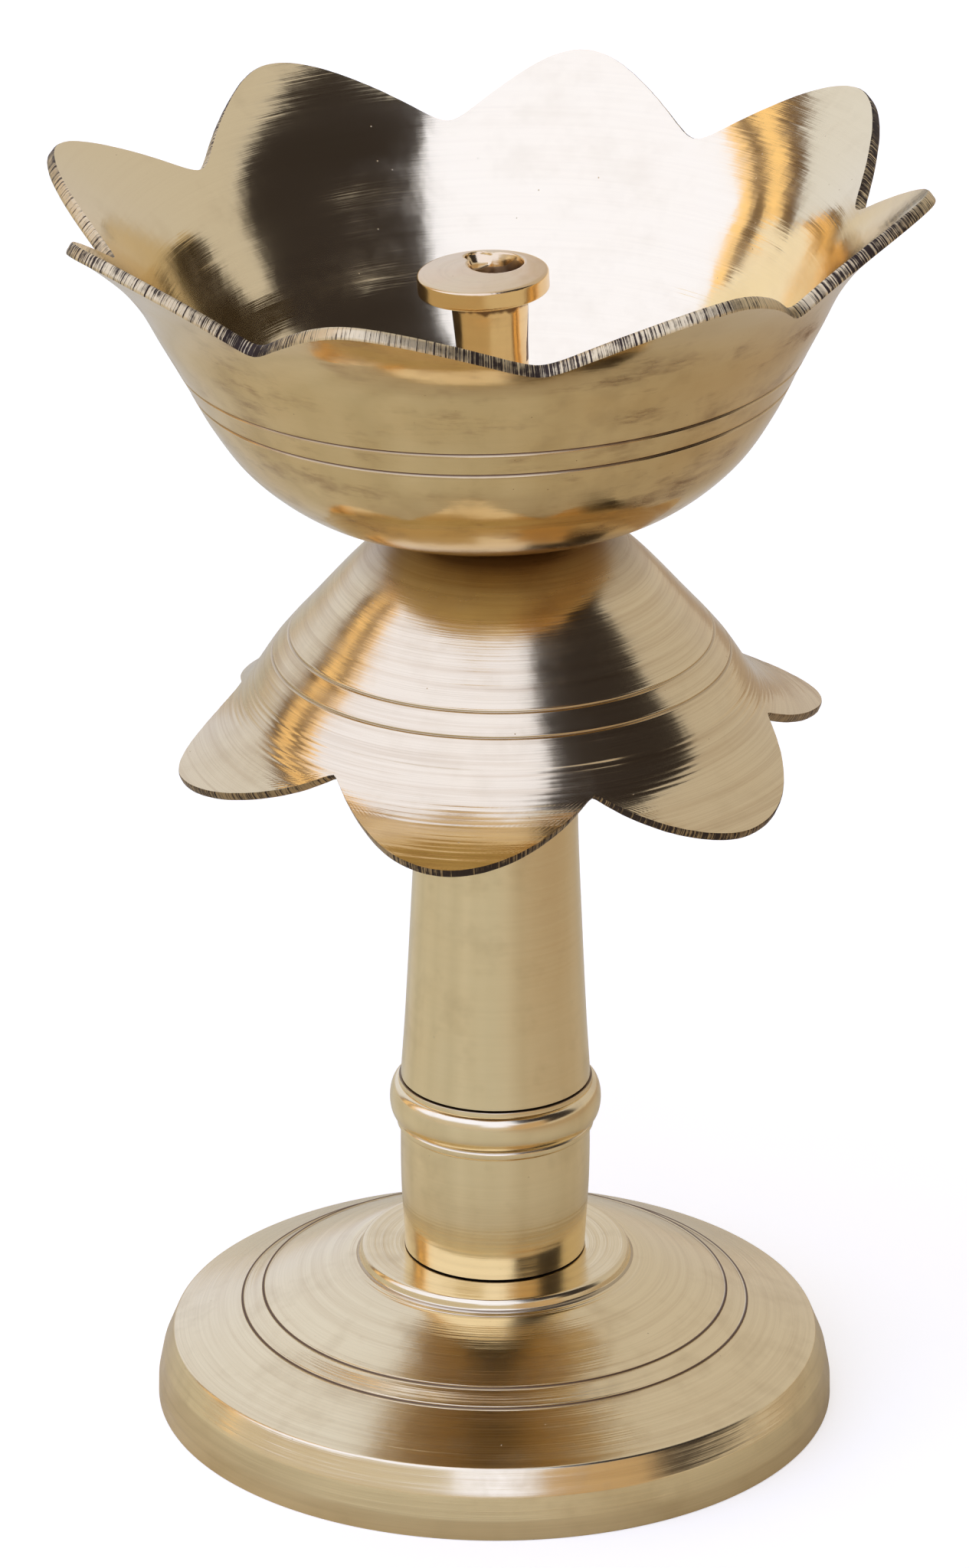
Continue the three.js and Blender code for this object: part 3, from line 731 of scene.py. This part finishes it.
def solid_of(name, points, steps=96, centre=(0, 0)):
    """A turned solid whose outline starts and ends on the axis."""
    made = bmesh.new()
    angles = np.arange(steps) * TAU / steps
    rings = [[made.verts.new((centre[0] + r * math.cos(a), centre[1] + r * math.sin(a), z))
              for a in angles] for r, z in points[1:-1]]
    bottom = made.verts.new((centre[0], centre[1], points[0][1]))
    top = made.verts.new((centre[0], centre[1], points[-1][1]))
    for k in range(steps):
        beside = (k + 1) % steps
        made.faces.new((bottom, rings[0][beside], rings[0][k]))
        made.faces.new((top, rings[-1][k], rings[-1][beside]))
        for low, high in zip(rings, rings[1:]):
            made.faces.new((low[k], low[beside], high[beside], high[k]))
    mesh = bpy.data.meshes.new(name)
    made.to_mesh(mesh)
    made.free()
    obj = bpy.data.objects.new(name, mesh)
    bpy.context.scene.collection.objects.link(obj)
    return obj


def boolean(target, tool, operation):
    """Joins a solid to another, or cuts it out."""
    modifier = target.modifiers.new("cut", "BOOLEAN")
    modifier.operation = operation
    modifier.object = tool
    modifier.solver = "EXACT"


def apply_modifiers(obj):
    """Keeps the shape that an object's modifiers give, and drops them."""
    evaluated = obj.evaluated_get(bpy.context.evaluated_depsgraph_get())
    mesh = bpy.data.meshes.new_from_object(evaluated)
    obj.modifiers.clear()
    old, obj.data = obj.data, mesh
    bpy.data.meshes.remove(old)


def make_wick_holder():
    """A tapered neck with an off-centre flange, a leaning wick hole and a scoop filed in its lip."""
    flange_top, flange_foot, flange_radius = 166.5, 163.7, 8.85
    flange_x, flange_y = -0.7, -1.2
    hole_x, hole_y = 1.1, 1.0
    neck = solid_of("wick_holder_cast", [
        (0, holder_foot), (6.7, holder_foot), (7.0, holder_foot + 0.3), (7.0, holder_foot + 1.3),
        (6.6, holder_foot + 1.7), (5.4, holder_foot + 2.4), (4.9, 140.0), (4.7, 144.0),
        (4.68, 150.0), (4.85, 156.0), (5.15, 161.0), (5.5, 163.4), (5.9, 164.4), (0, 164.4)])
    flange = solid_of("flange", [
        (0, flange_foot), (8.6, flange_foot), (flange_radius, flange_foot + 0.2),
        (flange_radius, flange_top - 0.35),
        (8.6, flange_top - 0.1), (6.5, flange_top + 0.06), (3.5, flange_top + 0.2),
        (0, flange_top + 0.25)], centre=(flange_x, flange_y))
    bore = solid_of("bore", [(0, holder_foot - 1), (BORE, holder_foot - 1), (BORE, rod_top + 1),
                             (0, rod_top + 1.5)])
    # The hole leans back, so it breaks out of the flange as an oval; a scoop is filed into its lip.
    hole = solid_of("hole", [(0, 154.0), (2.1, 154.0), (2.5, 154.6), (3.1, 160.0), (3.5, 164.5),
                             (3.6, flange_top - 0.8), (3.8, flange_top + 0.3),
                             (3.8, flange_top + 2), (0, flange_top + 2)], centre=(hole_x, hole_y))
    for vertex in hole.data.vertices:
        above = max(0.0, vertex.co.z - 160.0) / (flange_top - 160.0)
        vertex.co.y = hole_y + (vertex.co.y - hole_y) * (1 + 0.18 * above) + 0.5 * above
    notch = solid_of("notch", [(0, -1), (0.7, -0.87), (1, -0.4), (1.06, 0), (1, 0.4), (0.7, 0.87),
                               (0, 1)], steps=48)
    notch.data.transform(Matrix.Translation((hole_x - 2.0, hole_y + 3.3, flange_top + 0.4))
                         @ Matrix.Rotation(math.radians(125), 4, "Z")
                         @ Matrix.Diagonal((2.4, 2.0, 2.1, 1)))
    boolean(neck, flange, "UNION")
    for tool in (bore, hole, notch):
        boolean(neck, tool, "DIFFERENCE")
    remesh = neck.modifiers.new("even", "REMESH")
    remesh.mode = "VOXEL"
    remesh.voxel_size = 0.14
    worn = neck.modifiers.new("worn", "SMOOTH")
    worn.factor, worn.iterations = 0.5, 5
    apply_modifiers(neck)
    for tool in (flange, bore, hole, notch):
        bpy.data.objects.remove(tool, do_unlink=True)

    mesh = neck.data
    points = np.empty(len(mesh.vertices) * 3, np.float32)
    mesh.vertices.foreach_get("co", points)
    points = points.reshape(-1, 3).astype(float)
    radius = np.hypot(points[:, 0] - flange_x, points[:, 1] - flange_y)
    angle = np.arctan2(points[:, 1], points[:, 0])
    # The cast root of the flange is lumpy.
    root = np.exp(-((points[:, 2] - 163.6) / 0.6) ** 2) * (radius < 7.6)
    lump = (np.sin(angle * 9 + 1) + np.sin(angle * 17 + 2.2) * 0.6 + np.sin(angle * 31) * 0.4) / 2
    points[:, 2] += 0.16 * root * lump
    points[:, 0] += 0.10 * root * lump * np.cos(angle)
    points[:, 1] += 0.10 * root * lump * np.sin(angle)
    # The root of the flange is darkened, with a ragged lower border, and so is the inside of the
    # hole, more the deeper it goes.
    flange_root_dark = np.clip((points[:, 2] - 161.45 - 0.35 * lump) / 0.4, 0, 1) * (points[:, 2] < 163.6)
    dirt_and_shade = 0.85 * flange_root_dark * (np.hypot(points[:, 0], points[:, 1]) < 6.4)
    down = np.clip((165.8 - points[:, 2]) / 6, 0, 1)
    inside = np.hypot(points[:, 0] - hole_x, points[:, 1] - hole_y) < 4.3
    dirt_and_shade = np.maximum(dirt_and_shade, inside * (points[:, 2] > 153.5) * (0.55 + 0.4 * down) * (down > 0))
    along = points[:, 2] + np.where(points[:, 2] > 163.5, radius, 0)
    points = leaned(points, HOLDER_LEAN)
    mesh.vertices.foreach_set("co", (points * MM).astype(np.float32).ravel())
    mesh.shade_smooth()
    for key, values in (("along", along), ("dirt_and_shade", dirt_and_shade)):
        layer = mesh.attributes.new(key, "FLOAT", "POINT")
        layer.data.foreach_set("value", values.astype(np.float32))
    mesh.materials.clear()
    mesh.materials.append(cast_brass)
    mesh.update()
    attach(neck, "holder")
    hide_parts("wick_holder")


# ---------------------------------------------------------------- fastenings

def rectangle(inner, outer, bottom, top, corner):
    """A closed outline of a ring with rounded corners."""
    points = rounded([(inner, 0.5 * (bottom + top)), (inner, bottom), (outer, bottom),
                      (outer, top), (inner, top), (inner, 0.5 * (bottom + top))], corner)
    return points[:-1]


def make_seal():
    low, high = limits_mm("seal_washer")
    outline = rectangle(BORE, 7.6, low, high, 0.3)
    turned("seal_washer_moulded", outline, rubber, "seal", "seal_washer", steps=96,
           lean=BOWL_LEAN)


def make_rod():
    """The threaded rod: a ridge of one millimetre pitch that runs up it as a helix."""
    pitch, depth, steps = 1.0, 0.5, 48
    heights = np.arange(rod_foot, rod_top + 0.01, 0.125)
    angles = np.arange(steps) * TAU / steps
    phase = (heights[None, :] / pitch - angles[:, None] / TAU) % 1.0
    radius = ROD - depth * np.clip(np.abs(phase - 0.5) * 2.6 - 0.25, 0, 1)
    chamfer = np.minimum(np.minimum(heights - rod_foot, rod_top - heights) + 2.4, ROD)
    radius = np.minimum(radius, chamfer[None, :])
    radius = np.concatenate([np.zeros((steps, 1)), radius, np.zeros((steps, 1))], 1)
    heights = np.r_[heights[0], heights, heights[-1]]
    rows = len(heights)
    vertices = np.stack([radius * np.cos(angles)[:, None], radius * np.sin(angles)[:, None],
                         np.tile(heights, (steps, 1))], -1).reshape(-1, 3)
    faces = [face for face in grid_faces(steps, rows)
             if {face[0] % rows, face[2] % rows} != {rows - 1, 0}]
    obj = new_object("tie_rod_threaded", vertices * MM, faces, steel, "stand", "tie_rod")
    tidy = bmesh.new()
    tidy.from_mesh(obj.data)
    bmesh.ops.remove_doubles(tidy, verts=tidy.verts, dist=1e-7)
    tidy.to_mesh(obj.data)
    tidy.free()


def make_washers():
    """A flat washer, and a spring washer that is split and rises a little on its way round."""
    low, high = limits_mm("flat_washer")
    turned("flat_washer_pressed", rectangle(BORE, 9.0, low, high, 0.2), steel, "stand",
           "flat_washer", steps=128)

    low, high = limits_mm("spring_washer")
    outline = rectangle(BORE, 5.9, low + 0.1, high - 0.1, 0.15)
    steps, gap = 96, math.radians(11)
    angles = np.linspace(gap, TAU - gap, steps)
    rise = np.linspace(-0.1, 0.1, steps)
    vertices = np.stack([np.cos(angles)[:, None] * outline[:, 0],
                         np.sin(angles)[:, None] * outline[:, 0],
                         rise[:, None] + outline[:, 1]], -1).reshape(-1, 3)
    rows = len(outline)
    faces = grid_faces(steps, rows)[:(steps - 1) * rows]
    faces.append([row for row in range(rows)][::-1])
    faces.append([(steps - 1) * rows + row for row in range(rows)])
    if signed_area(outline) < 0:
        faces = [face[::-1] for face in faces]
    new_object("spring_washer_coiled", vertices * MM, faces, steel, "stand", "spring_washer")


def make_nut():
    """A hexagon nut whose corners are worn round and chamfered at both ends."""
    half, drop, steps = 5.0, 0.7, 180
    angles = np.arange(steps) * TAU / steps
    flat = half / np.cos((angles % (math.pi / 3)) - math.pi / 6)
    flat = np.minimum(flat, half / math.cos(math.pi / 6) - 0.08)
    heights = np.r_[np.linspace(0, drop, 6), np.linspace(drop, nut_top - nut_foot - drop, 8)[1:-1],
                    np.linspace(nut_top - nut_foot - drop, nut_top - nut_foot, 6)]
    taper = 4.95 + np.minimum(heights, nut_top - nut_foot - heights) / drop * 0.95
    wall = np.minimum(flat[:, None], taper[None, :])
    bore_rows = [(BORE + 0.3, heights[-1]), (BORE, heights[-1] - 0.3), (BORE, 0.3), (BORE + 0.3, 0)]
    radius = np.concatenate([wall] + [np.full((steps, 1), r) for r, _ in bore_rows], 1)
    height = np.r_[heights, [z for _, z in bore_rows]] + nut_foot
    vertices = np.stack([radius * np.cos(angles)[:, None], radius * np.sin(angles)[:, None],
                         np.tile(height, (steps, 1))], -1).reshape(-1, 3)
    new_object("base_nut_hexagon", vertices * MM, grid_faces(steps, radius.shape[1]), steel, "stand",
               "base_nut", sharp=18)


# ---------------------------------------------------------------- floor, light and camera

CAMERA_GLOW = 0.5
CREAM = (0.90, 0.84, 0.60)
CREAM_DIM = (0.74, 0.68, 0.46)
CREAM_RIGHT = (0.64, 0.48, 0.27)
NEAR_SHADE = (0.46, 0.33, 0.18)


def make_floor():
    """A pale studio sweep."""
    bpy.ops.mesh.primitive_grid_add(x_subdivisions=4, y_subdivisions=4, size=6)
    floor = bpy.context.object
    floor.name = "floor"
    n = Nodes(bpy.data.materials.new("pale_floor"))
    here = n.position()
    grain = n.noise(here, 40.0, detail=4.0)
    # The brass reflects a cream cloth that is uneven in bands running out from the lamp, while the
    # camera sees it as bright as a lit studio sweep.
    split = n.node("ShaderNodeSeparateXYZ")
    n.put(here, split.inputs[0])
    bearing = n.math("ARCTAN2", split.outputs[0], split.outputs[1])
    bands = n.noise(n.combine(n.math("MULTIPLY", bearing, 2.2), 0.0, 0.0), 1.0, detail=3.0,
                    roughness=0.65)
    cloth = n.mix(n.ramp(bands, [(0.35, 0.0), (0.65, 1.0)]), CREAM, CREAM_DIM)
    to_right = n.math("MULTIPLY", split.outputs[0], 4.0, clamp=True)
    cloth = n.mix(to_right, cloth, CREAM_RIGHT)
    away = n.math("SQRT", n.math("ADD", n.math("POWER", split.outputs[0], 2.0),
                                 n.math("POWER", split.outputs[1], 2.0)))
    shaded = n.ramp(n.math("MULTIPLY", away, 4.0), [(0.19, 0.4), (0.34, 0.0)])
    cloth = n.mix(shaded, cloth, NEAR_SHADE)
    seen = n.node("ShaderNodeLightPath").outputs["Is Camera Ray"]
    pale = n.mix(grain, (0.81, 0.75, 0.60), (0.84, 0.78, 0.63))
    n.put(n.mix(seen, cloth, pale), n.shader.inputs["Base Color"])
    n.shader.inputs["Roughness"].default_value = 0.7
    n.shader.inputs["Specular IOR Level"].default_value = 0.1
    n.shader.inputs["Emission Color"].default_value = (1.0, 0.995, 0.98, 1)
    n.put(n.math("MULTIPLY", seen, CAMERA_GLOW), n.shader.inputs["Emission Strength"])
    floor.data.materials.append(n.owner)


def make_studio():
    """Soft light all round: a wide pale window in front on the left and a dark end on the right."""
    world = bpy.data.worlds.new("studio")
    bpy.context.scene.world = world
    n = Nodes(world, "Background")
    direction = n.node("ShaderNodeTexCoord").outputs["Generated"]
    split = n.node("ShaderNodeSeparateXYZ")
    n.put(direction, split.inputs[0])
    x, y, z = split.outputs
    # Azimuth is 0 in front of the lamp, positive to its right, in degrees.
    azimuth = n.math("MULTIPLY", n.math("ARCTAN2", x, n.math("MULTIPLY", y, -1.0)), 180 / math.pi)
    height = n.math("MULTIPLY", n.math("ARCSINE", z), 180 / math.pi)

    def rise(value, start, end):
        made = n.node("ShaderNodeMapRange", interpolation_type="SMOOTHSTEP")
        n.put(value, made.inputs["Value"])
        made.inputs["From Min"].default_value = start
        made.inputs["From Max"].default_value = end
        return made.outputs["Result"]

    def patch(left, right, low, high, soft=4.0):
        across = n.math("MULTIPLY", rise(azimuth, left - soft, left + soft),
                        n.math("SUBTRACT", 1.0, rise(azimuth, right - soft, right + soft)))
        up = n.math("MULTIPLY", rise(height, low - soft, low + soft),
                    n.math("SUBTRACT", 1.0, rise(height, high - soft, high + soft)))
        return n.math("MULTIPLY", across, up)

    colour = n.mix(rise(height, 0, 45), (0.64, 0.60, 0.60), (0.73, 0.77, 0.98))
    colour = n.mix(patch(-180, -95, 5, 90, 6.0), colour, (0.80, 0.88, 1.22))
    colour = n.mix(patch(97, 180, 5, 90, 6.0), colour, (0.62, 0.61, 0.68))
    window, dark, golden = (1.10, 1.28, 2.18), (0.036, 0.031, 0.036), (1.20, 0.88, 0.52)
    brown = (0.13, 0.08, 0.05)
    colour = n.mix(patch(16, 56, 0, 24, 2.0), colour, (0.56, 0.42, 0.30))
    # The sill of the window is lower at its middle and towards its far left end.
    for left, right, sill in ((-97, 25, 22), (-14, 14, 11), (-97, -50, 17.5), (-97, -72, 12)):
        colour = n.mix(patch(left, right, sill, 86, 1.5), colour, window)
    colour = n.mix(patch(25, 97, 28, 72, 2.0), colour, dark)
    colour = n.mix(patch(56, 96, 6, 32, 2.5), colour, dark)
    for left, right, tone in ((-103, -97, golden), (-109, -103, brown), (-117, -109, golden),
                              (-124, -117, brown)):
        colour = n.mix(patch(left, right, 2, 66, 0.8), colour, tone)
    n.put(colour, n.shader.inputs["Color"])
    n.shader.inputs["Strength"].default_value = 1.0


def make_camera():
    """The view from well back and a little above, slightly rolled."""
    data = bpy.data.cameras.new("camera")
    data.sensor_fit = "AUTO"
    data.sensor_width = 36.0
    data.lens = 238.2
    data.clip_start, data.clip_end = 0.05, 50
    camera = bpy.data.objects.new("camera", data)
    bpy.context.scene.collection.objects.link(camera)
    distance, elevation, roll = 1.413, math.radians(23.22), math.radians(0.18)
    target = Vector((-0.00164, 0, 0.09159))
    back = Vector((0, -math.cos(elevation), math.sin(elevation)))
    camera.location = target + back * distance
    camera.rotation_mode = "QUATERNION"
    camera.rotation_quaternion = (-back).to_track_quat("-Z", "Y") @ Matrix.Rotation(
        roll, 3, "Z").to_quaternion()
    bpy.context.scene.camera = camera


make_base()
make_lower_stem()
make_upper_stem()
make_skirt()
make_bowl()
make_wick_holder()
make_seal()
make_rod()
make_washers()
make_nut()
make_floor()
make_studio()
make_camera()

bpy.context.scene.view_settings.view_transform = "Standard"
bpy.context.scene.view_settings.look = "None"
